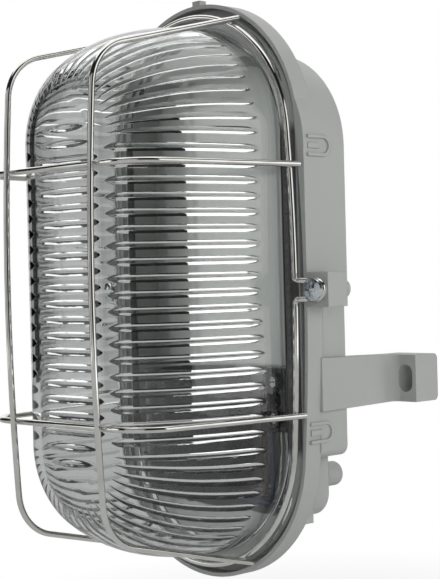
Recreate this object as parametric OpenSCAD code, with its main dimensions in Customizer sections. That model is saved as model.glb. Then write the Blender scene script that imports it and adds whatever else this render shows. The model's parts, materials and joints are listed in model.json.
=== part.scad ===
// Oval cage light: moulded base on two wall feet, ribbed glass dome, welded wire guard
// and an E27 lampholder. Millimetres. The wall is the plane y = 0, the light faces -Y,
// +Z is up and the origin is on the wall behind the middle of the light.

/* [Base] */
// Half width of the rim at mid height
rim_w = 52.5; // [47:0.5:57]
// Half height of the rim
rim_h = 106.5; // [102:0.5:112]
// Distance from the wall to the front of the rim
rim_front = 58.6; // [56:0.2:62]
// Distance from the wall to the back of the housing
housing_back = 37.3; // [34:0.1:39]
// General wall thickness of the moulding
wall = 2.3; // [2:0.1:2.8]

/* [Wall feet] */
// How far each foot stands out from its arm
foot_out = 10.6; // [9:0.1:13]
// Thickness of a foot off the wall
foot_deep = 12.8; // [10:0.1:15]
// Width of the screw slot
slot_w = 6.2; // [5:0.1:6.6]
// Length of the screw slot
slot_l = 10; // [8:0.1:12]

/* [Glass] */
// Thickness of the glass
glass_t = 3; // [2.6:0.1:3.4]
// Distance from the wall to the front of the dome
dome_front = 124; // [122:0.5:125.5]
// Distance from one rib to the next
rib_pitch = 5.5; // [5:0.1:6.5]
// How far the ribs stand into the dome
rib_h = 1; // [0.6:0.1:1.4]

/* [Guard] */
// Diameter of the guard wire
wire_d = 2.2; // [1.8:0.1:2.3]
// Distance from the middle to each long bar
long_x = 23.2; // [21:0.1:25]
// Distance from the middle to each cross bar
cross_z = 43.9; // [40:0.1:46]
// Space from the glass to the middle of the long bars
guard_gap = 7.2; // [6.4:0.1:9]

/* [Lampholder] */
// Height of the holder's mouth above the rim's lower end
mouth_up = 78.5; // [76.5:0.5:80.5]
// Distance from the wall to the lamp's axis
lamp_y = 62.5; // [62:0.1:64]

/* [Hidden] */
// Gap left between pieces that rest on each other
seat_gap = 0.1;
// Gap left between wires at their welds
weld_gap = 0.15;
// Clearance round a pin or screw in its hole
pin_gap = 0.15;
// How far an end arc stands proud of the arc it runs into, so that they cross cleanly
arc_lap = 0.02;

// The rim is an oval of four tangent arcs.
rim_end_r = rim_w - 2.5;
rim_c = rim_h - rim_end_r;
lip_t = 1.5;
plate_front = rim_front - 5.4;
plate_back = plate_front - 2.4;
seat_front = plate_front + 2;
top_r = rim_w - 16.2;
top_c = rim_h - 55.2;
side_w = rim_w + 0.05;
top_x = side_w - top_r;
low_w = rim_w - 1.7;
low_z = rim_h - 46.5;
low_r = 4;
well_w = rim_w - 11.3;
well_c = rim_h - 32.5;
well_r = 9;
floor_front = housing_back + wall;
pocket_w = rim_w - 6;
screw_x = rim_w + 5.8;
lug_w = 12;
lug_deep = 10;
lug_out = screw_x + 4.1;
pad_t = 0.5;
insert_r = 2.8;
insert_l = 8;
screw_r = 2;
clip_z = rim_h - 56;
drain_x = rim_w - 15.5;
drain_z = 22.5 - rim_h;
drain_w = 5;
entry_x = rim_w - 19.1;
entry_z = 5 - well_c;
entry_hole_r = 4.6;
entry_bore_r = 3;

foot_z = -33.7;
foot_h = 17.3;
arm_in = pocket_w;
foot_edge = rim_w + foot_out;
slot_x = foot_edge - 4.8;

flange_w = rim_w - 2.4;
flange_end_r = rim_end_r - 1.9;
flange_c = rim_c - 1.6;
gasket_t = 2;
flange_back = seat_front + gasket_t;
flange_front = flange_back + 3.5;
mouth_w = rim_w - 5.9;
mouth_end_r = rim_end_r - 5;
mouth_c = flange_c;

// The dome's curved section is three tangent arcs; the outer and middle radii follow
// from its height and its half width.
dome_w = rim_w - 8.5;
dome_c = rim_c - 3.5;
dome_foot = flange_front + 5.3;
dome_flat = dome_w - 30;
turn_a = 16;
turn_b = 36;
arc_a = 105;
need_y = dome_front - dome_foot - arc_a * sin(turn_a);
need_x = dome_w - dome_flat - arc_a * (1 - cos(turn_a));
ky_b = sin(turn_b) - sin(turn_a);
ky_c = 1 - sin(turn_b);
kx_b = cos(turn_a) - cos(turn_b);
kx_c = cos(turn_b);
arc_det = ky_b * kx_c - ky_c * kx_b;
arc_b = (need_y * kx_c - ky_c * need_x) / arc_det;
arc_c = (ky_b * need_x - kx_b * need_y) / arc_det;
ctr_a = [dome_w - arc_a, dome_foot];
ctr_b = ctr_a + (arc_a - arc_b) * [cos(turn_a), sin(turn_a)];
ctr_c = ctr_b + (arc_b - arc_c) * [cos(turn_b), sin(turn_b)];
side_ribs = floor(dome_c * 2 / rib_pitch);
end_ribs = floor(PI * dome_w / rib_pitch);
rib_share = 0.46;
rib_w = rib_pitch * rib_share;

wire_r = wire_d / 2;
wire_lap = 0.08;
bend_d = wire_d - 0.02;
ring_y = flange_front + wire_r + 2 * seat_gap;
ring_w = rim_w - 2.5;
ring_end_r = rim_end_r - 2;
ring_c = rim_c - 3.2;
ring_side_r = side_radius(ring_w, ring_end_r, ring_c);
bar_end = ring_y - wire_d;
long_front = dome_front + guard_gap;

// The long bars hug the ring at their ends and cross in front of the cross bars.
long_slope = 13.3;
long_bend = 17;
long_fall = 4;
ring_at_long = ring_c + sqrt(ring_end_r * ring_end_r - long_x * long_x);
long_end_z = ring_at_long + (wire_d + weld_gap) * ring_end_r / (ring_at_long - ring_c)
    + (ring_y - bar_end) * tan(long_slope);
long_far = long_front - bar_end - long_bend * (cos(long_fall) - sin(long_slope));
long_down = long_end_z - long_bend * (cos(long_slope) - sin(long_fall));
long_arc = (long_down - long_far * tan(long_slope))
    / (sin(long_fall) - (1 - cos(long_fall)) * tan(long_slope));
long_leg = (long_far - long_arc * (1 - cos(long_fall))) / cos(long_slope);

cross_slope = 8;
cross_bend = 15;
long_at_cross = long_front - cross_z * cross_z / (2 * long_arc);
cross_front = long_at_cross - wire_d - weld_gap;
ring_at_cross = ring_w - ring_side_r + sqrt(ring_side_r * ring_side_r - cross_z * cross_z);
cross_end_x = ring_at_cross + (wire_d + weld_gap) / cos(asin(cross_z / ring_side_r))
    + (ring_y - bar_end) * tan(cross_slope);
cross_leg = (cross_front - bar_end - cross_bend * (1 - sin(cross_slope))) / cos(cross_slope);
cross_run = cross_end_x - cross_leg * sin(cross_slope) - cross_bend * cos(cross_slope);

loop_r = screw_r + wire_r + pin_gap;
loop_bend = 1.8;
loop_y = rim_front + pad_t + wire_r + seat_gap;
head_back = loop_y + wire_r + seat_gap;
head_t = 2.3;

mouth_z = mouth_up - rim_h;
holder_r = 19.5;
holder_h = 44;
holder_bore = 17.4;
holder_bottom = mouth_z - holder_h;
insert_top = holder_bottom + 12;
sleeve_r = 14.2;
thread_r = 13.4;
contact_w = 6;
terminal_x = 8;
terminal_up = 3.6;
terminal_w = 6;
terminal_deep = 8;
terminal_h = 6.9;
terminal_in = 0.3;
terminal_gap = 0.2;
holder_screw_y = 11;
bracket_t = 1.2;
bracket_w = 32;
bracket_foot = 7.6;
bracket_z = holder_bottom - 4.5;
bracket_screw_x = 12;
block_x = holder_r + 12;
block_w = 12;
block_z = mouth_z - 11.5;
block_h = 23;
block_deep = 15.4;
block_front = floor_front + block_deep;
way_z = 6.5;
tube_y = floor_front + 8;
lead_d = 2.2;
lead_bend = 2.6;
live_in = 13;
live_drop = 3.9;
live_x = block_x - live_in;
live_low = holder_bottom - live_drop;
neutral_in = 9;
neutral_drop = 6.6;
neutral_x = block_x - neutral_in;
neutral_low = holder_bottom - neutral_drop;

// Extrudes an outline drawn in X and Z from one distance off the wall to another.
module slab(back, front) {
    translate([0, -back, 0])
        rotate([90, 0, 0])
            linear_extrude(front - back)
                children();
}

// Round bar along Y between two distances off the wall.
module pin_y(x, z, r, back, front) {
    translate([x, -back, z])
        rotate([90, 0, 0])
            cylinder(r = r, h = front - back, $fn = 96);
}

// Quarter of a disc: sx and sz choose the corner.
module corner_disc(cx, cz, r, sx, sz) {
    intersection() {
        translate([cx, cz])
            circle(r = r, $fn = 180);
        translate([sx > 0 ? cx : cx - r, sz > 0 ? cz : cz - r])
            square(r);
    }
}

// Radius of an oval's sides from its half width, end radius and end centre.
function side_radius(w, r, c) = (w * w + c * c - r * r) / (2 * (w - r));

// Oval of four tangent arcs: half width w, end radius r centred c above and below.
module oval(w, r, c) {
    side_r = side_radius(w, r, c);
    a = atan2(c, side_r - w);
    z1 = c + r * sin(a);
    intersection() {
        translate([w - side_r, 0])
            circle(r = side_r, $fn = 1440);
        translate([side_r - w, 0])
            circle(r = side_r, $fn = 1440);
        translate([-w - 5, -z1])
            square([2 * w + 10, 2 * z1]);
    }
    for (s = [-1, 1])
        translate([0, s * c])
            circle(r = r + arc_lap, $fn = 360);
}

module rim_outline(d = 0) {
    oval(rim_w - d, rim_end_r - d, rim_c);
}

// Upper housing outline, d inside the outer face.
module top_outline(d, w) {
    translate([-w + d, 0])
        square([2 * w - 2 * d, top_c]);
    translate([-top_x, top_c - 1])
        square([2 * top_x, top_r - d + 1]);
    for (s = [-1, 1])
        corner_disc(s * top_x, top_c, top_r - d, s, 1);
}

// Lower housing outline, d inside the outer face.
module low_outline(d, w) {
    r = max(low_r - d, 1);
    translate([-w + d, -low_z + d + r])
        square([2 * (w - d), low_z - d - r + 1]);
    translate([-w + d + r, -low_z + d])
        square([2 * (w - d - r), r + 1]);
    for (s = [-1, 1])
        corner_disc(s * (w - d - r), -low_z + d + r, r, s, -1);
}

// Cable well outline below the housing.
module well_outline(d) {
    r = well_r - d;
    w = well_w - well_r;
    translate([-well_w + d, -well_c])
        square([2 * (well_w - d), well_c - low_z + 6]);
    translate([-w, -well_c - r])
        square([2 * w, r + 1]);
    for (s = [-1, 1])
        corner_disc(s * w, -well_c, r, s, -1);
}

module pocket_outline() {
    intersection() {
        union() {
            top_outline(wall, pocket_w + wall);
            low_outline(wall, pocket_w + wall);
        }
        oval(mouth_w, mouth_end_r, mouth_c);
    }
    well_outline(wall);
}

module slot_outline(w, l) {
    square([w, l - w], center = true);
    for (s = [-1, 1])
        translate([0, s * (l - w) / 2])
            circle(d = w, $fn = 48);
}

// Arm and foot on the +X side; the other one is the same turned half round.
module arm() {
    h_front = 19.1;
    translate([arm_in, 0, foot_z])
        rotate([90, 0, 90])
            linear_extrude(rim_w - arm_in)
                polygon([[-foot_deep + 2, foot_h / 2], [-foot_deep + 2, -foot_h / 2],
                    [-plate_back - 1, -h_front / 2], [-plate_back - 1, h_front / 2]]);
    difference() {
        union() {
            translate([arm_in, 0, foot_z])
                rotate([90, 0, 90])
                    linear_extrude(foot_edge - arm_in)
                        foot_outline();
            foot_fillet();
        }
        translate([slot_x, 1, foot_z])
            rotate([90, 0, 0])
                linear_extrude(foot_deep + 8)
                    slot_outline(slot_w, slot_l);
    }
}

// Rounds the corner between the arm and the front of its foot.
module foot_fillet() {
    r = 4.1;
    difference() {
        translate([rim_w - 0.5, -foot_deep - r, foot_z - foot_h / 2])
            cube([r + 0.5, r + 0.5, foot_h]);
        translate([rim_w + r, -foot_deep - r, foot_z - foot_h])
            cylinder(r = r + 0.1, h = foot_h * 2, $fn = 64);
    }
}

module foot_outline() {
    r = 2;
    translate([-foot_deep, -foot_h / 2])
        square([foot_deep - r, foot_h]);
    translate([-r - 1, -foot_h / 2 + r])
        square([r + 1, foot_h - 2 * r]);
    for (s = [-1, 1])
        corner_disc(-r, s * (foot_h / 2 - r), r, 1, s);
}

// Raised U of a clip pocket on the side of the housing, open to the front.
module clip_lip(x) {
    l = 12;
    w = 7.6;
    translate([x - 0.3, 0, 0])
        rotate([90, 0, 90])
            linear_extrude(1.2)
                difference() {
                    clip_shape(l, w);
                    clip_shape(l - 1.3, w - 2.4);
                }
    translate([x - 0.3, -rim_front + 2, -1])
        cube([0.9, 5.6, 2]);
}

module clip_shape(l, w) {
    translate([-rim_front + 1.6, -w / 2])
        square([l - w / 2, w]);
    translate([-rim_front + 1.6 + l - w / 2, 0])
        circle(d = w, $fn = 48);
}

module lug() {
    translate([rim_w - 1, -rim_front, -lug_w / 2])
        cube([lug_out - rim_w + 1, lug_deep, lug_w]);
    translate([low_w - 2, -plate_front, -lug_w / 2])
        cube([3, plate_front - rim_front + lug_deep, lug_w]);
    pin_y(screw_x, 0, 3.6, rim_front - 1, rim_front + pad_t);
    pin_y(screw_x, 0, 3.4, rim_front - lug_deep - 2.6, rim_front - lug_deep + 1);
}

module base() {
    color([0.55, 0.56, 0.55])
        difference() {
            union() {
                difference() {
                    union() {
                        slab(plate_back, rim_front)
                            rim_outline();
                        slab(housing_back, rim_front)
                            top_outline(0, side_w);
                        translate([-3, -rim_front + 1, rim_h - 2])
                            cube([4, 3.2, 4]);
                    }
                    slab(plate_front, rim_front + 1)
                        rim_outline(lip_t);
                }
                slab(plate_front - 1, seat_front)
                    oval(flange_w, flange_end_r, flange_c);
                slab(housing_back, plate_back + 0.5)
                    low_outline(0, low_w);
                slab(housing_back, plate_back + 0.5)
                    well_outline(0);
                for (a = [0, 180])
                    rotate([0, a, 0]) {
                        arm();
                        lug();
                    }
                for (s = [0, 1], t = [-1, 1])
                    mirror([s, 0, 0])
                        translate([0, 0, t * clip_z])
                            clip_lip(t > 0 ? rim_w : low_w - 0.2);
                translate([drain_x, -plate_back - 0.5, drain_z])
                    cube([drain_w, 4.5, drain_w]);
            }
            slab(floor_front, seat_front + 1)
                pocket_outline();
            pin_y(entry_x, entry_z, entry_hole_r, housing_back - 1, floor_front + 1);
            for (a = [0, 180])
                rotate([0, a, 0])
                    pin_y(screw_x, 0, insert_r + pin_gap, rim_front - insert_l - 0.3,
                        rim_front + pad_t + 1);
            for (s = [-1, 1])
                pin_y(s * bracket_screw_x, bracket_z, 1.3, housing_back + 0.8, floor_front + 1);
            pin_y(block_x, block_z, 1.3, housing_back + 0.8, floor_front + 1);
        }
}

module gasket() {
    color([0.16, 0.16, 0.17])
        difference() {
            slab(seat_front + seat_gap, flange_back - seat_gap)
                oval(flange_w - 0.3, flange_end_r - 0.3, flange_c);
            slab(seat_front - 1, flange_back + 1)
                oval(mouth_w, mouth_end_r, mouth_c);
        }
}

// Half section of the dome, d inside its outer face, in distance from the axis and
// distance off the wall.
module dome_half(d) {
    y_a = ctr_a[1] + arc_a * sin(turn_a);
    y_b = ctr_b[1] + arc_b * sin(turn_b);
    translate([0, flange_back])
        square([dome_w - d, dome_foot - flange_back]);
    intersection() {
        translate(ctr_a)
            circle(r = arc_a - d, $fn = 720);
        translate([0, dome_foot])
            square([80, y_a - dome_foot - d * sin(turn_a)]);
    }
    intersection() {
        translate(ctr_b)
            circle(r = arc_b - d + arc_lap, $fn = 720);
        translate([0, dome_foot])
            square([80, y_b - dome_foot - d * sin(turn_b)]);
    }
    intersection() {
        translate(ctr_c)
            circle(r = arc_c - d + 2 * arc_lap, $fn = 360);
        translate([0, dome_foot])
            square(80);
    }
    translate([0, dome_foot])
        square([dome_flat, dome_front - d - dome_foot]);
}

module dome_wall() {
    difference() {
        dome_half(0);
        dome_half(glass_t);
        translate([-1, 0])
            square([dome_w - glass_t + 1, dome_foot]);
    }
}

// Point of the dome's section at turn angle a, d inside its outer face.
function wall_point(a, d) =
    a < turn_a ? ctr_a + (arc_a - d) * [cos(a), sin(a)]
    : a < turn_b ? ctr_b + (arc_b - d) * [cos(a), sin(a)]
    : ctr_c + (arc_c - d) * [cos(a), sin(a)];

// Half section of one rib, its back sunk into the wall: it starts off the flange and fades
// over the shoulder.
module rib_half() {
    sunk = glass_t - 1;
    crest = glass_t + rib_h;
    polygon(concat([for (a = [2:16:66]) wall_point(a, sunk)],
        [for (a = [58:-7:5]) wall_point(a, crest)]));
}

module both_sides() {
    for (s = [0, 1])
        mirror([s, 0])
            children();
}

// Turns a half section drawn in X and distance off the wall so that it faces -Y.
module face_out() {
    mirror([0, 1, 0])
        children();
}

// Level bars inside the front, half a pitch off the side ribs. At each end two more get
// shorter.
module front_bars() {
    last = side_ribs / 2 - 1;
    full = dome_flat + 3.5;
    for (k = [0:last + 2], s = [-1, 1]) {
        half = k < last ? full : k < last + 1 ? full - 4 : full - 7;
        translate([-half, -dome_front + glass_t - 0.5, s * (k + 0.5) * rib_pitch - rib_w / 2])
            cube([2 * half, 0.5 + rib_h, rib_w]);
    }
}

module glass() {
    color([0.72, 0.8, 0.76, 0.5]) {
        slab(flange_back, flange_front)
            difference() {
                oval(flange_w, flange_end_r, flange_c);
                dome_plan(glass_t - 1);
            }
        face_out()
            translate([0, 0, -dome_c]) {
                linear_extrude(2 * dome_c)
                    both_sides()
                        dome_wall();
                for (i = [0:side_ribs - 1])
                    translate([0, 0, dome_c + (i - (side_ribs - 1) / 2) * rib_pitch - rib_w / 2])
                        linear_extrude(rib_w)
                            both_sides()
                                rib_half();
            }
        for (s = [0, 180])
            rotate([0, s, 0])
                translate([0, 0, dome_c])
                    rotate([90, 0, 0]) {
                        rotate_extrude(angle = 180, $fn = 180)
                            dome_wall();
                        for (i = [0:end_ribs - 1])
                            rotate([0, 0, (i + 0.5 - rib_share / 2) * 180 / end_ribs])
                                rotate_extrude(angle = 180 / end_ribs * rib_share, $fn = 180)
                                    rib_half();
                    }
        front_bars();
    }
}

module dome_plan(d) {
    translate([-dome_w + d, -dome_c])
        square([2 * (dome_w - d), 2 * dome_c]);
    for (s = [-1, 1])
        translate([0, s * dome_c])
            intersection() {
                circle(r = dome_w - d, $fn = 360);
                translate([-dome_w, s > 0 ? 0 : -dome_w])
                    square([2 * dome_w, dome_w]);
            }
}

// Bent wire. Each step is [straight length, bend radius, bend angle, turn of the plane];
// a run starts at the origin along +Z and bends towards its own +X. The bends are a hair
// thinner than the straights, which reach a little way over them.
module wire_run(steps, i = 0) {
    if (i < len(steps)) {
        s = steps[i];
        back = i > 0 ? wire_lap : 0;
        if (i > 0 || s[0] > 0)
            translate([0, 0, -back])
                cylinder(d = wire_d, h = s[0] + back + wire_lap, $fn = 48);
        translate([0, 0, s[0]])
            rotate([0, 0, s[3]]) {
                translate([s[1], 0, 0])
                    rotate([90, 0, 180])
                        rotate_extrude(angle = s[2], $fn = 180)
                            translate([s[1], 0])
                                circle(d = bend_d, $fn = 48);
                translate([s[1] * (1 - cos(s[2])), 0, s[1] * sin(s[2])])
                    rotate([0, s[2], 0])
                        wire_run(steps, i + 1);
            }
    }
}

// Short straight centred at p, along the axis that rot turns +Z to.
module wire_joint(p, rot, l = 2 * wire_lap) {
    translate(p)
        rotate(rot)
            cylinder(d = wire_d, h = l, center = true, $fn = 48);
}

// Quarter of the ring, from the top middle to the outside of the loop round its screw.
module ring_quarter() {
    side_a = atan2(ring_c, ring_side_r - ring_w);
    loop_z1 = (loop_r + loop_bend) / (1 + loop_bend / ring_side_r);
    loop_a = asin(loop_z1 / ring_side_r);
    drop = ring_y - loop_y;
    kink = 35;
    kink_r = 2;
    kink_l = (drop - 2 * kink_r * (1 - cos(kink))) / sin(kink);
    turn_x = ring_w - ring_side_r * (1 - cos(loop_a)) + loop_bend * cos(loop_a);
    run_x = 2 * kink_r * sin(kink) + kink_l * cos(kink);
    translate([0, -ring_y, ring_c + ring_end_r])
        rotate([0, 90, 0])
            wire_run([[0, ring_end_r, 90 - side_a, 0], [0, ring_side_r, side_a - loop_a, 0],
                [0, loop_bend, 90 - loop_a, 180], [0, kink_r, kink, -90],
                [kink_l, kink_r, kink, 180], [screw_x - turn_x - run_x, loop_r, 90, 90]]);
}

module guard_ring() {
    color([0.8, 0.8, 0.82]) {
        for (x = [0, 1], z = [0, 1])
            mirror([x, 0, 0])
                mirror([0, 0, z])
                    ring_quarter();
        for (s = [-1, 1]) {
            wire_joint([0, -ring_y, s * (ring_c + ring_end_r)], [0, 90, 0]);
            wire_joint([s * (screw_x + loop_r), -loop_y, 0], [0, 0, 0]);
        }
    }
}

module long_bar(x) {
    color([0.8, 0.8, 0.82]) {
        wire_joint([x, -long_front, 0], [0, 0, 0]);
        for (z = [0, 1])
            mirror([0, 0, z])
                translate([x, -bar_end, long_end_z])
                    rotate([90 + long_slope, 0, 0])
                        rotate([0, 0, -90])
                            wire_run([[long_leg, long_bend, 90 - long_slope - long_fall, 0],
                                [0, long_arc, long_fall, 0]]);
    }
}

module cross_bar(z) {
    color([0.8, 0.8, 0.82]) {
        wire_joint([0, -cross_front, z], [0, 90, 0], 2 * (cross_run + wire_lap));
        for (x = [0, 1])
            mirror([x, 0, 0])
                translate([cross_end_x, -bar_end, z])
                    rotate([90, 0, 0])
                        rotate([0, -cross_slope, 0])
                            rotate([0, 0, 180])
                                wire_run([[cross_leg, cross_bend, 90 - cross_slope, 0]]);
    }
}

module long_bar_right() {
    long_bar(long_x);
}

module long_bar_left() {
    long_bar(-long_x);
}

module cross_bar_upper() {
    cross_bar(cross_z);
}

module cross_bar_lower() {
    cross_bar(-cross_z);
}

// Pan head screw with a cross recess.
module pan_screw(r, head_r, head_h, shank) {
    difference() {
        union() {
            cylinder(r = r, h = shank, $fn = 48);
            translate([0, 0, shank])
                intersection() {
                    cylinder(r = head_r, h = head_h, $fn = 96);
                    translate([0, 0, head_h - head_r * 1.9])
                        sphere(r = head_r * 1.9, $fn = 180);
                }
        }
        for (a = [0, 90])
            rotate([0, 0, a])
                translate([-head_r * 0.55, -head_r * 0.12, shank + head_h - head_h * 0.6])
                    cube([head_r * 1.1, head_r * 0.24, head_h]);
    }
}

module cover_screw() {
    l = head_back - rim_front + insert_l - 0.6;
    color([0.75, 0.76, 0.78])
        translate([screw_x, -head_back + l, 0])
            rotate([90, 0, 0])
                pan_screw(screw_r, 4, head_t, l);
}

module cover_screw_right() {
    cover_screw();
}

module cover_screw_left() {
    rotate([0, 180, 0])
        cover_screw();
}

module lug_inserts() {
    color([0.75, 0.6, 0.3])
        for (a = [0, 180])
            rotate([0, a, 0])
                difference() {
                    pin_y(screw_x, 0, insert_r, rim_front - insert_l, rim_front + pad_t - 0.1);
                    pin_y(screw_x, 0, screw_r + 0.1, rim_front - insert_l - 1, rim_front + 3);
                }
}

// Rubber grommet whose neck fills the entry hole and whose tube reaches back to the wall.
module cable_grommet() {
    tube_r = 4.5;
    tube_back = 24.8;
    round_r = 1.5;
    color([0.5, 0.51, 0.5])
        difference() {
            union() {
                pin_y(entry_x, entry_z, 6.6, housing_back - 1.9, housing_back - seat_gap);
                pin_y(entry_x, entry_z, entry_hole_r - pin_gap, housing_back - 1,
                    floor_front + 1);
                pin_y(entry_x, entry_z, 5.2, floor_front + seat_gap, floor_front + 1.8);
                pin_y(entry_x, entry_z, tube_r, tube_back + round_r, housing_back - 1);
                translate([entry_x, -tube_back - round_r, entry_z])
                    rotate([-90, 0, 0])
                        rotate_extrude($fn = 96)
                            intersection() {
                                union() {
                                    translate([tube_r - round_r, 0])
                                        circle(r = round_r, $fn = 48);
                                    square([tube_r - round_r, round_r]);
                                }
                                square(tube_r);
                            }
            }
            pin_y(entry_x, entry_z, entry_bore_r, 20, floor_front + 3);
        }
}

// The lampholder stands on a bracket with its mouth up.
module tube_z(r, bore, z0, z1) {
    translate([0, -lamp_y, z0])
        difference() {
            cylinder(r = r, h = z1 - z0, $fn = 120);
            translate([0, 0, -1])
                cylinder(r = bore, h = z1 - z0 + 2, $fn = 120);
        }
}

module lampholder_body() {
    color([0.08, 0.08, 0.08]) {
        tube_z(holder_r, sleeve_r + 0.4, insert_top + 0.1, mouth_z);
        tube_z(holder_r, holder_bore, holder_bottom, insert_top + 0.1);
        tube_z(holder_r + 1.2, holder_r - 0.5, insert_top - 2, insert_top + 1);
    }
}

module lampholder_insert() {
    color([0.12, 0.12, 0.12])
        difference() {
            translate([0, -lamp_y, holder_bottom + 0.1])
                cylinder(r = holder_bore - 0.2, h = insert_top - holder_bottom - 0.2, $fn = 120);
            for (s = [-1, 1]) {
                translate([s * terminal_x - terminal_w / 2 - terminal_gap,
                    -lamp_y - terminal_deep / 2 - terminal_gap, holder_bottom - 1])
                    cube([terminal_w + 2 * terminal_gap, terminal_deep + 2 * terminal_gap,
                        terminal_h + terminal_in + terminal_gap + 1]);
                translate([s * terminal_x, -lamp_y, holder_bottom + terminal_up])
                    rotate([90, 0, 0])
                        cylinder(r = 2.2, h = 30, $fn = 36);
            }
            for (s = [-1, 1])
                translate([0, -lamp_y + s * holder_screw_y, holder_bottom - 1])
                    cylinder(r = 1.6, h = 7, $fn = 36);
        }
}

module thread_sleeve() {
    z0 = insert_top;
    color([0.8, 0.65, 0.35]) {
        tube_z(sleeve_r, thread_r, z0, mouth_z - 6);
        tube_z(sleeve_r, 9, z0, z0 + 0.8);
    }
}

module centre_contact() {
    color([0.8, 0.65, 0.35]) {
        translate([-contact_w / 2, -lamp_y - 7, insert_top])
            cube([contact_w, 14, 0.6]);
        translate([-contact_w / 2, -lamp_y + 7, insert_top])
            rotate([90, 0, 90])
                linear_extrude(contact_w)
                    polygon([[0, 0], [-0.8, 0], [-1, 3], [-6, 4.8], [-9, 4.8], [-9, 5.4],
                        [-5.8, 5.4], [-0.4, 3.4]]);
        translate([0, -lamp_y - 0.2, insert_top + 5.2])
            cylinder(r1 = 1.8, r2 = 1.2, h = 0.8, $fn = 36);
    }
}

module holder_terminals() {
    color([0.8, 0.65, 0.35])
        for (s = [-1, 1])
            difference() {
                translate([s * terminal_x - terminal_w / 2, -lamp_y - terminal_deep / 2,
                    holder_bottom + terminal_in])
                    cube([terminal_w, terminal_deep, terminal_h]);
                translate([s * terminal_x, -lamp_y, holder_bottom - 1])
                    cylinder(r = 1.5, h = 6.2, $fn = 36);
                translate([s * terminal_x, -lamp_y, holder_bottom + terminal_up])
                    rotate([90, 0, 0])
                        cylinder(r = 1.3, h = 8, $fn = 36);
            }
}

module holder_terminal_screws() {
    color([0.75, 0.76, 0.78])
        for (s = [-1, 1])
            translate([s * terminal_x, -lamp_y - 1.7, holder_bottom + terminal_up])
                rotate([90, 0, 0])
                    difference() {
                        cylinder(r = 1.2, h = 3.6, $fn = 36);
                        translate([-2, -0.25, 3])
                            cube([4, 0.5, 2]);
                    }
}

// Steel angle: a foot on the housing floor and a shelf under the holder.
module holder_bracket() {
    t = bracket_t;
    shelf = holder_bottom - 0.1;
    color([0.72, 0.73, 0.74])
        difference() {
            union() {
                translate([-bracket_w / 2, -floor_front - t - seat_gap, shelf - bracket_foot])
                    cube([bracket_w, t, bracket_foot]);
                translate([-bracket_w / 2, -lamp_y - 14, shelf - t])
                    cube([bracket_w, lamp_y + 14 - floor_front - seat_gap, t]);
            }
            for (s = [-1, 1]) {
                pin_y(s * bracket_screw_x, bracket_z, 1.7, floor_front - 1, floor_front + 3);
                translate([s * terminal_x, -lamp_y, shelf - 3])
                    cylinder(r = 3, h = 5, $fn = 48);
            }
            for (s = [-1, 1])
                translate([0, -lamp_y + s * holder_screw_y, shelf - 3])
                    cylinder(r = 1.7, h = 5, $fn = 36);
        }
}

module bracket_screws() {
    color([0.75, 0.76, 0.78])
        for (s = [-1, 1])
            translate([s * bracket_screw_x, -housing_back - 1.2, bracket_z])
                rotate([90, 0, 0])
                    pan_screw(1.15, 2.4, 1.5, wall + 2 * seat_gap);
}

module holder_screws() {
    color([0.75, 0.76, 0.78])
        for (s = [-1, 1])
            translate([0, -lamp_y + s * holder_screw_y, holder_bottom + 5])
                rotate([180, 0, 0])
                    pan_screw(1.45, 2.6, 1.6, 6.4);
}

// Two way terminal block beside the holder, tubes along X and screws to the front.
module terminal_block() {
    color([0.1, 0.1, 0.1])
        difference() {
            union() {
                translate([block_x - block_w / 2, -block_front, block_z - block_h / 2])
                    cube([block_w, block_front - floor_front - seat_gap, block_h]);
                for (s = [-1, 1])
                    pin_y(block_x, block_z + s * way_z, 3.4, block_front - 1, block_front + 2.4);
            }
            for (s = [-1, 1]) {
                translate([block_x - block_w, -tube_y, block_z + s * way_z])
                    rotate([0, 90, 0])
                        cylinder(r = 2.5, h = block_w * 2, $fn = 48);
                pin_y(block_x, block_z + s * way_z, 2.2, tube_y, block_front + 4);
            }
            pin_y(block_x, block_z, 1.8, floor_front - 1, block_front + 1);
            pin_y(block_x, block_z, 2.9, floor_front + 9, block_front + 1);
        }
}

module block_tubes() {
    color([0.8, 0.65, 0.35])
        for (s = [-1, 1])
            translate([block_x - 5.6, -tube_y, block_z + s * way_z])
                rotate([0, 90, 0])
                    difference() {
                        cylinder(r = 2.4, h = 11.2, $fn = 48);
                        translate([0, 0, -1])
                            cylinder(r = 1.5, h = 14, $fn = 48);
                    }
}

module block_screws() {
    color([0.75, 0.76, 0.78])
        for (s = [-1, 1])
            translate([block_x, -tube_y - 2.5, block_z + s * way_z])
                rotate([90, 0, 0])
                    difference() {
                        cylinder(r = 2, h = 6.4, $fn = 48);
                        translate([-3, -0.3, 5.6])
                            cube([6, 0.6, 2]);
                    }
}

module block_fixing_screw() {
    color([0.75, 0.76, 0.78])
        translate([block_x, -housing_back - 1.2, block_z])
            rotate([90, 0, 0])
                pan_screw(1.15, 2.6, 1.6, wall - 1.2 + 9.1);
}

// Round lead through a list of points, its corners rounded.
module lead_run(p, r, d, i = 0) {
    n = len(p);
    if (i < n - 1) {
        u = (p[i + 1] - p[i]) / norm(p[i + 1] - p[i]);
        cut0 = i == 0 ? 0 : r;
        cut1 = i == n - 2 ? 0 : r;
        translate(p[i] + cut0 * u)
            rotate([0, acos(u[2]), atan2(u[1], u[0])])
                cylinder(d = d, h = norm(p[i + 1] - p[i]) - cut0 - cut1, $fn = 36);
        if (i < n - 2) {
            v = (p[i + 2] - p[i + 1]) / norm(p[i + 2] - p[i + 1]);
            w = cross(u, v);
            c = p[i + 1] - r * u + r * v;
            multmatrix([[-v[0], u[0], w[0], c[0]], [-v[1], u[1], w[1], c[1]],
                [-v[2], u[2], w[2], c[2]], [0, 0, 0, 1]])
                rotate_extrude(angle = 90, $fn = 60)
                    translate([r, 0])
                        circle(d = d, $fn = 36);
        }
        lead_run(p, r, d, i + 1);
    }
}

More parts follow.
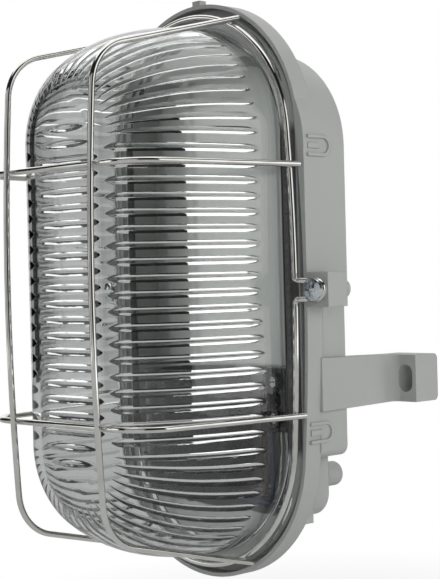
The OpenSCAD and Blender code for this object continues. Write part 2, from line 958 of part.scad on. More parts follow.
// Each lead leaves the block, drops beside the holder and comes up into its terminal.
module lead(s, z, x_drop, z_low) {
    lead_run([[block_x - 4.6, -tube_y, z], [x_drop, -tube_y, z], [x_drop, -tube_y, z_low],
        [s * terminal_x, -tube_y, z_low], [s * terminal_x, -lamp_y, z_low],
        [s * terminal_x, -lamp_y, holder_bottom + 2]], lead_bend, lead_d);
}

module lead_live() {
    color([0.36, 0.2, 0.12])
        lead(1, block_z + way_z, live_x, live_low);
}

module lead_neutral() {
    color([0.2, 0.4, 0.7])
        lead(-1, block_z - way_z, neutral_x, neutral_low);
}

base();
gasket();
glass();
guard_ring();
long_bar_right();
long_bar_left();
cross_bar_upper();
cross_bar_lower();
cover_screw_right();
cover_screw_left();
lug_inserts();
cable_grommet();
lampholder_body();
lampholder_insert();
thread_sleeve();
centre_contact();
holder_terminals();
holder_terminal_screws();
holder_bracket();
bracket_screws();
holder_screws();
terminal_block();
block_tubes();
block_screws();
block_fixing_screw();
lead_live();
lead_neutral();
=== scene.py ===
import json
import math

import bmesh
import bpy
from mathutils import Matrix, Vector


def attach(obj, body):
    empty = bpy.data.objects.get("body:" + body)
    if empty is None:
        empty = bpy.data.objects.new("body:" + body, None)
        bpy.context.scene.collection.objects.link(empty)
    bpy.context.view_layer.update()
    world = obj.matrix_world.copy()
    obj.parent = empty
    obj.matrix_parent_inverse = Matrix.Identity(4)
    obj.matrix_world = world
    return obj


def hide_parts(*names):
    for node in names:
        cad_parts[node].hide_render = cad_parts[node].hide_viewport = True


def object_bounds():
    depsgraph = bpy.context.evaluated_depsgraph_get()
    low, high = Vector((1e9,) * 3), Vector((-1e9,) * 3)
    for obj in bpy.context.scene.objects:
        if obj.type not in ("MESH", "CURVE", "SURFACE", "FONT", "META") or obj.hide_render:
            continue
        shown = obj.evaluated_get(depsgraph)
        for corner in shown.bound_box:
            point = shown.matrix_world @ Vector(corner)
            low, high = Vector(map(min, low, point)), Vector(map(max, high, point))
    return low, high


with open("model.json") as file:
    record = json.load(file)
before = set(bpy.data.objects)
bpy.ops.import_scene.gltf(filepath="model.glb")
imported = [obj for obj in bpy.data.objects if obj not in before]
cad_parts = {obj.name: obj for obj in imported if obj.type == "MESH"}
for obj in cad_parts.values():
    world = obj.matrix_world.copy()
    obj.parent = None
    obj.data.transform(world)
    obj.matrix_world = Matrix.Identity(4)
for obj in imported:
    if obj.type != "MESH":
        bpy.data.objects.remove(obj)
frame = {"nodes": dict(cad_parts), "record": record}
cad_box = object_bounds()
MM = 0.001

# Camera
# Fitted to the photograph: degrees, millimetres and pixels of the 440 x 579 frame.
CAM_AZIMUTH, CAM_ELEVATION, CAM_ROLL = 45.96, 0.514, -1.497
CAM_DISTANCE, CAM_RIGHT, CAM_UP = 601.945, -35.917, 0.149
FOCAL_PX, FRAME_LONG_PX, SENSOR = 1501.8, 579, 36.0
CLIP_NEAR, CLIP_FAR = 0.01, 50


def add_camera():
    """The camera stands where the photographer's did, looking level at the light from its right."""
    a, e, r = (math.radians(v) for v in (CAM_AZIMUTH, CAM_ELEVATION, CAM_ROLL))
    back = Vector((math.sin(a) * math.cos(e), -math.cos(a) * math.cos(e), math.sin(e)))
    right = Vector((math.cos(a), math.sin(a), 0))
    up = back.cross(right)
    place = (back * CAM_DISTANCE + right * CAM_RIGHT + up * CAM_UP) * MM
    x_axis = right * math.cos(r) + up * math.sin(r)
    y_axis = up * math.cos(r) - right * math.sin(r)
    turn = Matrix((x_axis, y_axis, back)).transposed().to_4x4()
    data = bpy.data.cameras.new("camera")
    data.sensor_width = SENSOR
    data.lens = FOCAL_PX / FRAME_LONG_PX * SENSOR
    data.clip_start, data.clip_end = CLIP_NEAR, CLIP_FAR
    cam = bpy.data.objects.new("camera", data)
    cam.matrix_world = Matrix.Translation(place) @ turn
    bpy.context.scene.collection.objects.link(cam)
    bpy.context.scene.camera = cam


# Materials
# Grains, depths and rounded edges are in millimetres.
IOR = 1.5
# Noises: scale per metre, detail, and stretch where there is one.
FLOW = 18, 4, (1, 1, 0.35)
CLOUD, RIPPLES, SMEARS, FLOOR_CLOUD = (120, 3), (160, 2), (400, 2), (3, 2)
GRAIN_DETAIL, MARK_DETAIL = 2, 4
# The parts of a noise's range that are spread over a colour or a roughness.
NOISE_SPAN, CLOUD_SPAN, SMEAR_SPAN = (0.3, 0.7), (0.35, 0.65), (0.4, 0.7)
GRAIN_DEPTH, GRAIN_STRENGTH, GRAIN_ROUGH = 0.02, 0.35, 0.06
MARK_STRENGTH, MARK_ROUGH = 0.3, 0.3
RIPPLE_DEPTH, RIPPLE_STRENGTH, SMEAR_ROUGH = 0.05, 0.25, 0.04
BEVEL_SAMPLES = 6
# Name, darkest and lightest colour, roughness, grain, rounded edge.
PLASTICS = (
    ("base_plastic", (0.36, 0.37, 0.36), (0.39, 0.4, 0.39), 0.5, 0.35, 0.5),
    ("grommet_rubber", (0.33, 0.34, 0.33), (0.37, 0.38, 0.37), 0.6, 0.5, 0.5),
    ("holder_plastic", (0.012, 0.012, 0.012), (0.02, 0.02, 0.02), 0.25, 0.6, 0.5),
    ("lead_live_sleeve", (0.05, 0.03, 0.02), (0.07, 0.04, 0.03), 0.45, 0.4, 0),
    ("lead_neutral_sleeve", (0.03, 0.04, 0.07), (0.04, 0.05, 0.09), 0.45, 0.4, 0),
)
# Name, darkest and lightest colour, roughness, stretch and scale of the marks, rounded edge,
# depth of the marks.
METALS = (
    ("guard_wire", (0.72, 0.71, 0.67), (0.82, 0.82, 0.8), 0.08, (1, 1, 1), 1500, 0, 0.001),
    ("screw_steel", (0.6, 0.66, 0.7), (0.76, 0.81, 0.84), 0.17, (1, 1, 1), 900, 0.12, 0.01),
    ("contact_brass", (0.62, 0.43, 0.18), (0.75, 0.56, 0.26), 0.25, (1, 1, 1), 900, 0.12, 0.01),
    ("bracket_steel", (0.5, 0.51, 0.52), (0.6, 0.6, 0.61), 0.3, (1, 12, 1), 900, 0.12, 0.01),
)
GLASS_TINT, GLASS_SHADOW = (0.965, 0.98, 0.975, 1), (0.97, 0.98, 0.975, 1)
# The seal is dark, as painted shade under the flange's long sides, up to the first distance from
# the middle, and grey past the second, along each axis and in millimetres.
SEAL_PAINTED_SHADE = (("X", 46.4, 46.8), ("Z", 56, 60))
# The lip's colours are painted shade; the rest's colours are the rubber's own grey.
SEAL_LIP_PAINTED_SHADE = (0.035, 0.035, 0.033), (0.05, 0.049, 0.046)
SEAL_REST = (0.34, 0.36, 0.35), (0.38, 0.4, 0.39)
SEAL_ROUGH, SEAL_GRAIN = 0.6, 1 / 2.9


class Nodes:
    """The node tree of a material or world, with short ways to add to it."""

    def __init__(self, name, world=False):
        self.owner = (bpy.data.worlds if world else bpy.data.materials).new(name)
        self.owner.use_nodes = True
        self.tree = self.owner.node_tree
        self.tree.nodes.clear()
        self.out = self.add("ShaderNodeOutputWorld" if world else "ShaderNodeOutputMaterial")

    def add(self, kind, **inputs):
        node = self.tree.nodes.new(kind)
        for key, value in inputs.items():
            self.put(node, key.replace("_", " "), value)
        return node

    def put(self, node, name, value):
        socket = node.inputs[name]
        if isinstance(value, bpy.types.NodeSocket):
            self.tree.links.new(value, socket)
        else:
            socket.default_value = value

    def coords(self):
        return self.add("ShaderNodeTexCoord").outputs["Object"]

    def noise(self, scale, detail, stretch=(1, 1, 1)):
        mapping = self.add("ShaderNodeMapping", Vector=self.coords(), Scale=stretch)
        node = self.add("ShaderNodeTexNoise", Vector=mapping.outputs[0], Scale=scale, Detail=detail)
        return node.outputs["Fac"]

    def remap(self, value, low, high, start=0.0, end=1.0):
        node = self.add("ShaderNodeMapRange", Value=value)
        limits = (("From Min", start), ("From Max", end), ("To Min", low), ("To Max", high))
        for name, number in limits:
            self.put(node, name, number)
        return node.outputs[0]

    def ramp(self, share, one, two):
        """From one colour to another."""
        node = self.add("ShaderNodeMix")
        node.data_type = "RGBA"
        for name, value in (("Factor", share), ("A", one), ("B", two)):
            self.put(node, name, (*value, 1) if isinstance(value, tuple) else value)
        return node.outputs["Result"]

    def maths(self, kind, *values):
        node = self.add("ShaderNodeMath")
        node.operation = kind
        for socket, value in zip(node.inputs, values):
            self.tree.links.new(value, socket)
        return node.outputs[0]

    def larger(self, one, two):
        return self.maths("MAXIMUM", one, two)

    def bump(self, height, depth_mm, strength, normal=None):
        node = self.add("ShaderNodeBump", Height=height, Strength=strength, Distance=depth_mm * MM)
        if normal is not None:
            self.put(node, "Normal", normal)
        return node.outputs[0]

    def mix(self, share, one, two):
        """From one shader to another."""
        node = self.add("ShaderNodeMixShader")
        for socket, value in zip(node.inputs, (share, one, two)):
            self.tree.links.new(value, socket)
        return node.outputs[0]

    def surface(self, socket):
        self.put(self.out, "Surface", socket)
        return self.owner


def round_edges(n, radius_mm):
    """Normals that are rounded over the CAD solids' sharp edges."""
    node = n.add("ShaderNodeBevel", Radius=radius_mm * MM)
    node.samples = BEVEL_SAMPLES
    return node.outputs[0]


def flow_marks(n):
    """The faint clouds that a mould's flow leaves."""
    return n.remap(n.noise(*FLOW), 0, 1, *NOISE_SPAN)


def grained(n, colour, rough, grain_mm, edge_mm):
    """A spark-eroded mould's fine grain, with soft edges."""
    grain = n.noise(1 / (grain_mm * MM), GRAIN_DETAIL)
    edges = round_edges(n, edge_mm) if edge_mm else None
    low, high = rough - GRAIN_ROUGH, rough + GRAIN_ROUGH
    shader = n.add("ShaderNodeBsdfPrincipled", Base_Color=colour, IOR=IOR,
                   Normal=n.bump(grain, GRAIN_DEPTH, GRAIN_STRENGTH, edges),
                   Roughness=n.remap(grain, low, high, *NOISE_SPAN))
    return n.surface(shader.outputs[0])


def moulded(name, dark, light, rough, grain_mm, edge_mm):
    """Moulded plastic or rubber."""
    n = Nodes(name)
    return grained(n, n.ramp(flow_marks(n), dark, light), rough, grain_mm, edge_mm)


def seal_rubber_painted_shade():
    """The seal's rubber: dark along its thin lip, which is painted shade, greyer under the flange
    and round the ends.
    """
    n = Nodes("gasket_rubber")
    place = n.add("ShaderNodeSeparateXYZ", Vector=n.coords())
    out_of_painted_shade = [n.remap(n.maths("ABSOLUTE", place.outputs[axis]), 0, 1, start * MM, end * MM)
              for axis, start, end in SEAL_PAINTED_SHADE]
    flow = flow_marks(n)
    # Painted shade: dark where the lip lies under the flange's long sides, grey past it.
    colour = n.ramp(n.larger(*out_of_painted_shade), n.ramp(flow, *SEAL_LIP_PAINTED_SHADE), n.ramp(flow, *SEAL_REST))
    return grained(n, colour, SEAL_ROUGH, SEAL_GRAIN, 0)


def metal(name, dark, light, rough, stretch, scale, edge_mm, mark_mm):
    """Plated or plain metal with fine drawing marks and cloudy patches."""
    n = Nodes(name)
    cloud = n.remap(n.noise(*CLOUD), 0, 1, *CLOUD_SPAN)
    marks = n.noise(scale, MARK_DETAIL, stretch)
    low, high = rough * (1 - MARK_ROUGH), rough * (1 + MARK_ROUGH)
    edges = round_edges(n, edge_mm) if edge_mm else None
    shader = n.add("ShaderNodeBsdfPrincipled", Base_Color=n.ramp(cloud, dark, light), Metallic=1.0,
                   Normal=n.bump(marks, mark_mm, MARK_STRENGTH, edges),
                   Roughness=n.remap(marks, low, high, *NOISE_SPAN))
    return n.surface(shader.outputs[0])


def glass_material():
    """Pressed glass, faintly green in its thickness, that lets the lamps' light into the dome."""
    n = Nodes("ribbed_glass")
    ripples = n.bump(n.noise(*RIPPLES), RIPPLE_DEPTH, RIPPLE_STRENGTH)
    smears = n.remap(n.noise(*SMEARS), 0, SMEAR_ROUGH, *SMEAR_SPAN)
    shader = n.add("ShaderNodeBsdfPrincipled", Base_Color=GLASS_TINT, Transmission_Weight=1.0,
                   IOR=IOR, Normal=ripples, Roughness=smears)
    clear = n.add("ShaderNodeBsdfTransparent", Color=GLASS_SHADOW)
    path = n.add("ShaderNodeLightPath")
    return n.surface(n.mix(path.outputs["Is Shadow Ray"], shader.outputs[0], clear.outputs[0]))


def build_materials():
    made = {row[0]: moulded(*row) for row in PLASTICS}
    made.update({row[0]: metal(*row) for row in METALS})
    made["gasket_rubber"], made["ribbed_glass"] = seal_rubber_painted_shade(), glass_material()
    return made


# Meshes
WELD_M, SLIVER_M = 2e-6, 1e-7
SHARP = math.radians(38)


def add_mesh(mesh, name):
    data = bpy.data.meshes.new(name)
    mesh.to_mesh(data)
    mesh.free()
    obj = bpy.data.objects.new(name, data)
    bpy.context.scene.collection.objects.link(obj)
    return obj


def smooth(mesh):
    """Shades a closed skin smooth, up to its sharp edges."""
    bmesh.ops.recalc_face_normals(mesh, faces=mesh.faces)
    for face in mesh.faces:
        face.smooth = True
    for edge in mesh.edges:
        edge.smooth = len(edge.link_faces) == 2 and edge.calc_face_angle() < SHARP


def skin(mesh, lines):
    """Quads between lines of one length, the last of which meets the first."""
    for line, other in zip(lines, lines[1:] + lines[:1]):
        for a, b, c, d in zip(line, other, other[1:], line[1:]):
            mesh.faces.new((a, b, c, d))


# Glass
# The same forms as the solid's, in millimetres, with rounded ribs.
GLASS_T = 3.0
FLANGE_BACK, FLANGE_FRONT, DOME_FRONT = 57.2, 60.7, 124.0
FLANGE_W, FLANGE_END_R, FLANGE_C = 50.1, 48.1, 54.9
FLANGE_CHAMFER, FLANGE_ROUND, FOOT_FILLET, FOOT_BEND, ROUND_MID = 0.4, 0.5, 1.1, 0.5, 0.15
DOME_W, DOME_C, DOME_FLAT = 44.0, 53.0, 14.0
DOME_FOOT = FLANGE_FRONT + 5.3
TURN_A, TURN_B, ARC_A = math.radians(16), math.radians(36), 105.0
SIDE_RIBS, END_RIBS, RIB_PITCH = 19, 25, 5.5
RIB_HALF, RIB_CREST, RIB_SLOPE = 1.47, 0.34, 1.02
RIB_LEAST = 1e-6
# Shares of a rib's half width at which its section is sampled.
RIB_SHARES = (0, 0.15, 0.29, 0.42, 0.56, 0.74, 0.92, 1.0, 1.12)
# Turns in degrees: a rib starts and grows to its full size, and fades out where the front's
# bars end.
RIB_START, RIB_TIP = 2.2, 2.6
SIDE_FADE, END_FADE, FADE_POWER = (58, 71), (40, 68), 0.6
INNER_TURNS = (0, 1.2, 2.2, 2.5, 3, 3.7, 4.5, 5.5, 7, 9, 12, 16, 20, 24, 28, 32, 36, 40, 44, 48, 52,
               56, 59, 61, 63, 65, 67, 69, 71, 73)
OUTER_TURNS = (0, 3, 6, 9, 12, 15, 18, 21, 25, 29, 33, 37, 42, 47, 52, 57, 62, 67, 72, 77, 82, 86,
               90)
BAR_REACH, BAR_POWER = 16.6, 10
LENS_REACH, LENS_POWER = (13.5, 10.5), 2.5
FRONT_EDGE_TURN = 75
# Shares of the front's half width, and of its end's radius, at which its inside is sampled.
FRONT_SHARES = (0, 0.2, 0.4, 0.54, 0.64, 0.71, 0.76, 0.8, 0.83, 0.86, 0.885, 0.91, 0.94, 0.97, 1.0)
FRONT_END_SHARES = (0.5, 0.64, 0.76, 0.86, 0.93, 0.98)
ROW_GAP = 0.5
END_STEPS = 72
REACH_LIMIT, REACH_STEPS = 80.0, 40


def dome_arcs():
    """Centres and radii of the section's three tangent arcs, from its height and half width."""
    need_y = DOME_FRONT - DOME_FOOT - ARC_A * math.sin(TURN_A)
    need_x = DOME_W - DOME_FLAT - ARC_A * (1 - math.cos(TURN_A))
    ky_b, ky_c = math.sin(TURN_B) - math.sin(TURN_A), 1 - math.sin(TURN_B)
    kx_b, kx_c = math.cos(TURN_A) - math.cos(TURN_B), math.cos(TURN_B)
    det = ky_b * kx_c - ky_c * kx_b
    arc_b = (need_y * kx_c - ky_c * need_x) / det
    arc_c = (ky_b * need_x - kx_b * need_y) / det
    arcs = [((DOME_W - ARC_A, DOME_FOOT), ARC_A)]
    for turn, radius in ((TURN_A, arc_b), (TURN_B, arc_c)):
        (x, y), last = arcs[-1]
        centre = (x + (last - radius) * math.cos(turn), y + (last - radius) * math.sin(turn))
        arcs.append((centre, radius))
    return arcs


ARCS = dome_arcs()


def section_point(angle, depth):
    """A point of the dome's section at a turn angle and a depth below the outer face."""
    (x, y), radius = ARCS[0 if angle < TURN_A else 1 if angle < TURN_B else 2]
    return x + (radius - depth) * math.cos(angle), y + (radius - depth) * math.sin(angle)


def rib_rise(along, half):
    """Rise of a rib at a distance from its middle: a round crest between flanks of even slope."""
    if half < RIB_LEAST or abs(along) >= half:
        return 0.0
    crest = RIB_CREST * half / RIB_HALF
    return math.hypot(RIB_SLOPE * half, crest) - math.hypot(RIB_SLOPE * along, crest)


def across_pitch():
    """Places across one pitch, -0.5 to 0.5 of it, close together over the rib."""
    side = [share * RIB_HALF / RIB_PITCH for share in RIB_SHARES]
    return [-0.5] + [-s for s in reversed(side)] + side[1:]


def rib_growth(turn, fade):
    """Share of its full size that a rib has at a turn: a round tip, then a fade."""
    if turn <= RIB_START or turn >= fade[1]:
        return 0.0
    if turn > fade[0]:
        return ((fade[1] - turn) / (fade[1] - fade[0])) ** FADE_POWER
    return math.sqrt(1 - (1 - min(1.0, (turn - RIB_START) / RIB_TIP)) ** 2)


def perimeter_place(x, z):
    """Place round the oval, 0 to 4: right side, upper end, left side, lower end."""
    if abs(z) <= DOME_C:
        share = (z + DOME_C) / (2 * DOME_C)
        return share if x > 0 else 3 - share
    if z > 0:
        return 1 + math.atan2(z - DOME_C, x) / math.pi
    return 3 + math.atan2(-z - DOME_C, -x) / math.pi


def oval_reach(cz, dx, dz):
    """Distance from (0, cz) along a direction to the flange's edge, found by halving."""
    side_r = ((FLANGE_W ** 2 + FLANGE_C ** 2 - FLANGE_END_R ** 2)
              / (2 * (FLANGE_W - FLANGE_END_R)))
    joint = FLANGE_C * (1 + FLANGE_END_R / math.hypot(side_r - FLANGE_W, FLANGE_C))
    low, high = 0.0, REACH_LIMIT
    for _ in range(REACH_STEPS):
        mid = (low + high) / 2
        x, z = abs(dx * mid), abs(cz + dz * mid)
        if z > joint:
            inside = math.hypot(x, z - FLANGE_C) < FLANGE_END_R
        else:
            inside = math.hypot(x + side_r - FLANGE_W, z) < side_r
        low, high = (mid, high) if inside else (low, mid)
    return low


def fine_stations():
    """Steps round the inside: centre height, outward direction, share of a pitch, end or side."""
    places = across_pitch()
    sides = [((i - SIDE_RIBS // 2) * RIB_PITCH + p * RIB_PITCH, p)
             for i in range(SIDE_RIBS) for p in places]
    out = [(z, (1, 0), p, False) for z, p in sides]
    for top in (1, -1):
        if top < 0:
            out += [(z, (-1, 0), p, False) for z, p in reversed(sides)]
        for i in range(END_RIBS):
            for p in places:
                a = (i + 0.5 + p) / END_RIBS * math.pi + (0 if top > 0 else math.pi)
                out.append((top * DOME_C, (math.cos(a), math.sin(a)), p, True))
    return out


def coarse_stations():
    """Steps round the outside: the straight sides need none between their ends."""
    out = []
    for top in (1, -1):
        for i in range(END_STEPS + 1):
            a = i / END_STEPS * math.pi + (0 if top > 0 else math.pi)
            out.append((top * DOME_C, (math.cos(a), math.sin(a))))
    return out


def zip_loops(mesh, one, two):
    """Triangles between two closed loops of (place, vertex)."""
    one, two = (sorted(loop, key=lambda item: item[0]) for loop in (one, two))
    whole_turn = 4

    def upcoming(loop, k):
        if k >= len(loop):
            return math.inf
        return loop[k + 1][0] if k + 1 < len(loop) else loop[0][0] + whole_turn

    i = j = 0
    while i < len(one) or j < len(two):
        a, b = one[i % len(one)][1], two[j % len(two)][1]
        if upcoming(one, i) <= upcoming(two, j):
            i += 1
            mesh.faces.new((a, one[i % len(one)][1], b))
        else:
            j += 1
            mesh.faces.new((a, two[j % len(two)][1], b))


def front_bar(x, z):
    """Rise of the level bars inside the front, which shorten to lenses at each end."""
    row = math.floor(abs(z) / RIB_PITCH)
    along = abs(z) - (row + 0.5) * RIB_PITCH
    over = row - SIDE_RIBS // 2
    if over < 0:
        reach, power = BAR_REACH, BAR_POWER
    elif over < len(LENS_REACH):
        reach, power = LENS_REACH[over], LENS_POWER
    else:
        return 0.0
    if abs(x) >= reach:
        return 0.0
    return rib_rise(along, RIB_HALF * (1 - (abs(x) / reach) ** power))


def front_rows(edge_r):
    """Heights of the rows inside the front: close over the bars, wide past the last one."""
    last = SIDE_RIBS // 2 + len(LENS_REACH)
    rows = [(k + 0.5 + p) * RIB_PITCH for k in range(-last, last) for p in across_pitch()]
    top = -rows[0]
    rows += [top] + [s * (DOME_C + edge_r * share) for s in (-1, 1) for share in FRONT_END_SHARES]
    return sorted(z for z in rows if abs(z) <= top or abs(z) > top + ROW_GAP)


def front_inside(mesh, vert):
    """The front's inner face, in level rows that follow the bars. Gives its outline back."""
    edge_r, _ = section_point(math.radians(FRONT_EDGE_TURN), GLASS_T)
    (ctr_x, ctr_y), radius = ARCS[2]
    shares = [-s for s in reversed(FRONT_SHARES)] + list(FRONT_SHARES[1:])
    grid = []
    for z in front_rows(edge_r):
        over = max(0.0, abs(z) - DOME_C)
        width = math.sqrt(edge_r ** 2 - over ** 2)
        line = []
        for share in shares:
            x = share * width
            r = math.hypot(x, over)
            y = ctr_y + math.sqrt((radius - GLASS_T) ** 2 - max(0.0, r - ctr_x) ** 2)
            line.append(vert(x, y - front_bar(x, z), z))
        grid.append(line)
    for low, high in zip(grid, grid[1:]):
        for a, b, c, d in zip(low, low[1:], high[1:], high):
            mesh.faces.new((a, b, c, d))
    outline = [line[k] for line in grid for k in (0, -1)] + grid[0][1:-1] + grid[-1][1:-1]
    return [(perimeter_place(v.co.x / MM, v.co.z / MM), v) for v in outline]


def inner_line(share, at_end):
    """The inside's section at a share of a rib's pitch: distances outward and heights."""
    line = [(DOME_W - GLASS_T, FLANGE_BACK)]
    for turn in INNER_TURNS:
        t = math.radians(turn)
        r, y = section_point(t, GLASS_T)
        pitch = math.pi * r / END_RIBS if at_end else RIB_PITCH
        full = RIB_HALF / RIB_PITCH * pitch
        rise = rib_rise(share * pitch, full * rib_growth(turn, END_FADE if at_end else SIDE_FADE))
        line.append((r - math.cos(t) * rise, y - math.sin(t) * rise))
    return line


def outer_line(reach):
    """The outside's section, from the flange's edge at a reach to the middle of the front."""
    return [(reach - FLANGE_CHAMFER, FLANGE_BACK), (reach, FLANGE_BACK + FLANGE_CHAMFER),
            (reach, FLANGE_FRONT - FLANGE_ROUND), (reach - ROUND_MID, FLANGE_FRONT - ROUND_MID),
            (reach - FLANGE_ROUND, FLANGE_FRONT), (DOME_W + FOOT_FILLET, FLANGE_FRONT),
            (DOME_W + FOOT_BEND, FLANGE_FRONT + ROUND_MID),
            (DOME_W + ROUND_MID, FLANGE_FRONT + FOOT_BEND), (DOME_W, FLANGE_FRONT + FOOT_FILLET),
            *(section_point(math.radians(turn), 0) for turn in OUTER_TURNS),
            (DOME_FLAT / 2, DOME_FRONT), (0, DOME_FRONT)]


def build_glass():
    """Dome and flange as one closed skin, its inner face carrying the ribs."""
    mesh = bmesh.new()

    def vert(x, y, z):
        return mesh.verts.new((x * MM, -y * MM, z * MM))

    fine, coarse = fine_stations(), coarse_stations()
    inside = [[vert(dx * r, y, cz + dz * r) for r, y in inner_line(share, at_end)]
              for cz, (dx, dz), share, at_end in fine]
    skin(mesh, inside)
    outside = [[vert(dx * r, y, cz + dz * r) for r, y in outer_line(oval_reach(cz, dx, dz))]
               for cz, (dx, dz) in coarse]
    skin(mesh, outside)

    def outline(stations, lines, k):
        return [(perimeter_place(dx, cz + dz), line[k])
                for (cz, (dx, dz), *_), line in zip(stations, lines)]

    zip_loops(mesh, outline(fine, inside, 0), outline(coarse, outside, 0))
    zip_loops(mesh, outline(fine, inside, -1), front_inside(mesh, vert))
    bmesh.ops.remove_doubles(mesh, verts=mesh.verts, dist=WELD_M)
    bmesh.ops.dissolve_degenerate(mesh, edges=mesh.edges, dist=SLIVER_M)
    smooth(mesh)
    glass = add_mesh(mesh, "ribbed_glass")
    glass.data.materials.append(MATERIALS["ribbed_glass"])
    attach(glass, "root")
    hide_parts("glass")


# Gasket
# The solid's ring, which clings to the glass, with a thin lip under the flange's long sides:
# a dark sheet of painted shade.
GASKET_BACK, GASKET_W, GASKET_MOUTH_W, GASKET_CHAMFER = 55.3, 49.8, 46.6, 0.3
LIP_W, LIP_T, LIP_CLING, LIP_FADE = 40, 0.5, 0.02, 0.5


def build_gasket():
    """The ring as one closed skin. Its lip narrows to nothing round the ends."""
    mesh = bmesh.new()
    front = FLANGE_BACK + LIP_CLING
    rings = []
    for cz, (dx, dz) in coarse_stations():
        outer = oval_reach(cz, dx, dz) - (FLANGE_W - GASKET_W)
        mouth = outer - (GASKET_W - GASKET_MOUTH_W)
        # The lip is a dark sheet of painted shade under the flange's long sides.
        lip = LIP_W + (mouth - LIP_W) * min(1.0, abs(dz) / LIP_FADE)
        section = [(outer, GASKET_BACK + GASKET_CHAMFER), (outer, front), (lip, front),
                   (lip, front - LIP_T), (mouth, front - LIP_T), (mouth, GASKET_BACK),
                   (outer - GASKET_CHAMFER, GASKET_BACK)]
        ring = [mesh.verts.new((dx * r * MM, -y * MM, (cz + dz * r) * MM)) for r, y in section]
        rings.append(ring + ring[:1])
    skin(mesh, rings)
    bmesh.ops.remove_doubles(mesh, verts=mesh.verts, dist=WELD_M)
    smooth(mesh)
    seal = add_mesh(mesh, "seal_ring")
    seal.data.materials.append(MATERIALS["gasket_rubber"])
    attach(seal, "root")
    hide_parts("gasket")


# Studio, in metres
WORLD_GLOW = 0.015
# Azimuth from +X towards +Y, distance and height, width and height, watts, shown in mirrors.
LAMPS = (
    ("right_softbox", 24, 1.1, 0, (0.89, 1.4), 4.5, True),
    ("left_softbox", -130, 1.3, 0, (0.55, 1.3), 2.4, True),
    ("top_softbox", 136, 0.35, 1.15, (1.8, 1.8), 12, True),
    ("right_fill", 15, 1.2, 0.1, (0.9, 1.2), 6.0, False),
    ("camera_fill", -36, 1.25, 0.1, (0.9, 1.0), 6.8, False),
    ("front_fill", -75, 1.3, 0.3, (1.2, 1.0), 1.5, True),
)
LAMP_AIM = Vector((0.02, -0.1, 0))
# The beam's place, width and height, watts, and spread in degrees.
BEAM_FROM, BEAM_SIZE, BEAM_POWER, BEAM_SPREAD = Vector((0, -1.2, 0)), (0.06, 0.17), 0.017, 3
CARD_HALF, CARD_AWAY, CARD_IN_GLASS = (1.1, 1.3), 1.3, 0.33
FLOOR_HALF, FLOOR_BELOW, FLOOR_IN_GLASS = 1.7, 0.03, 0.45
FLOOR_COLOURS = (0.78, 0.78, 0.78), (0.82, 0.82, 0.82)
# The floor is less than white within this distance, so that the light's shadow shows there.
SHADOW_NEAR, SHADOW_FAR, SHADOW_WHITE = 0.05, 0.17, 0.7


def area_lamp(name, place, aim, size, power, shown):
    data = bpy.data.lights.new(name, "AREA")
    data.shape = "RECTANGLE"
    data.size, data.size_y = size
    data.energy = power
    lamp = bpy.data.objects.new(name, data)
    lamp.location = place
    lamp.rotation_mode = "QUATERNION"
    lamp.rotation_quaternion = (aim - place).to_track_quat("-Z", "Y")
    lamp.visible_glossy = lamp.visible_transmission = shown
    bpy.context.scene.collection.objects.link(lamp)
    return lamp


def add_world():
    """White for the camera, and next to no light."""
    n = Nodes("studio", world=True)
    path = n.add("ShaderNodeLightPath")
    soft, white = (n.add("ShaderNodeBackground", Color=(1, 1, 1, 1), Strength=strength).outputs[0]
                   for strength in (WORLD_GLOW, 1.0))
    bpy.context.scene.world = n.surface(n.mix(path.outputs["Is Camera Ray"], soft, white))


def add_lamps():
    """Softboxes at both sides, whose sharp edges show in the glass and the wires, one above and one
    in front, and two soft fills from the right that mirrors and glass don't show."""
    for name, azimuth, distance, height, size, power, shown in LAMPS:
        a = math.radians(azimuth)
        away = Vector((distance * math.cos(a), distance * math.sin(a), height))
        area_lamp(name, LAMP_AIM + away, LAMP_AIM, size, power, shown)
    # A narrow beam from the front, through the glass onto the inside of the base.
    beam = area_lamp("dome_beam", BEAM_FROM, Vector((0, 0, 0)), BEAM_SIZE, BEAM_POWER, False)
    beam.data.spread = math.radians(BEAM_SPREAD)


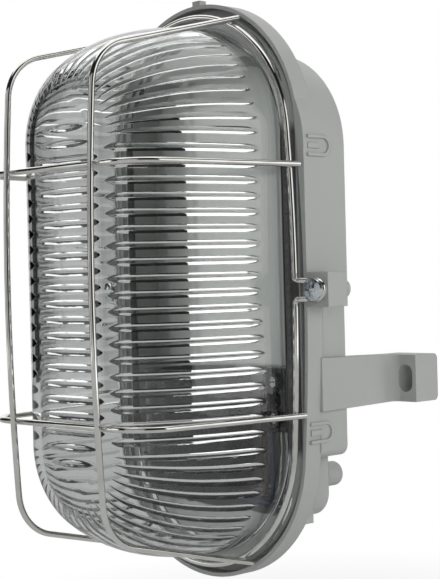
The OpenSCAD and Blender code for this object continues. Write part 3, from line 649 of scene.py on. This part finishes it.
def add_backdrop():
    """White card behind the light: the camera, mirrors and glass see it, and it sheds no light."""
    a = math.radians(CAM_AZIMUTH + 90)
    mesh = bmesh.new()
    bmesh.ops.create_grid(mesh, x_segments=1, y_segments=1, size=1)
    bmesh.ops.scale(mesh, vec=(*CARD_HALF, 1), verts=mesh.verts)
    card = add_mesh(mesh, "backdrop")
    card.location = (CARD_AWAY * math.cos(a), CARD_AWAY * math.sin(a), 0)
    card.rotation_euler = (math.radians(90), 0, a + math.radians(90))
    n = Nodes("backdrop")
    dark = n.add("ShaderNodeBsdfTransparent")
    path = n.add("ShaderNodeLightPath")
    strength = n.remap(path.outputs["Is Transmission Ray"], 1.0, CARD_IN_GLASS)
    glow = n.add("ShaderNodeEmission", Strength=strength)
    unseen = n.larger(path.outputs["Is Diffuse Ray"], path.outputs["Is Shadow Ray"])
    card.data.materials.append(n.surface(n.mix(unseen, glow.outputs[0], dark.outputs[0])))


def add_floor():
    """White for the camera, except near the light, where its shadow shows on the floor."""
    mesh = bmesh.new()
    bmesh.ops.create_grid(mesh, x_segments=1, y_segments=1, size=FLOOR_HALF)
    floor = add_mesh(mesh, "floor")
    floor.location = (0, 0, cad_box[0].z - FLOOR_BELOW)
    n = Nodes("floor")
    lit = n.add("ShaderNodeBsdfDiffuse", Color=n.ramp(n.noise(*FLOOR_CLOUD), *FLOOR_COLOURS))
    path = n.add("ShaderNodeLightPath")
    strength = n.remap(path.outputs["Is Camera Ray"], FLOOR_IN_GLASS, 1.0)
    glow = n.add("ShaderNodeEmission", Strength=strength)
    away = n.add("ShaderNodeVectorMath", Vector=n.coords())
    away.operation = "LENGTH"
    white = n.remap(away.outputs["Value"], SHADOW_WHITE, 1.0, SHADOW_NEAR, SHADOW_FAR)
    seen = n.maths("MULTIPLY", path.outputs["Is Camera Ray"], white)
    mirrored = n.larger(path.outputs["Is Glossy Ray"], path.outputs["Is Transmission Ray"])
    share = n.larger(seen, mirrored)
    floor.data.materials.append(n.surface(n.mix(share, lit.outputs[0], glow.outputs[0])))


MATERIALS = build_materials()
SLOTS = {p["node"]: p["material_slot"] for p in frame["record"]["subparts"]}
for node_name, obj in frame["nodes"].items():
    obj.data.materials.clear()
    obj.data.materials.append(MATERIALS[SLOTS[node_name]])

add_camera()
build_glass()
build_gasket()
add_world()
add_lamps()
add_backdrop()
add_floor()
bpy.context.scene.view_settings.view_transform = "Standard"
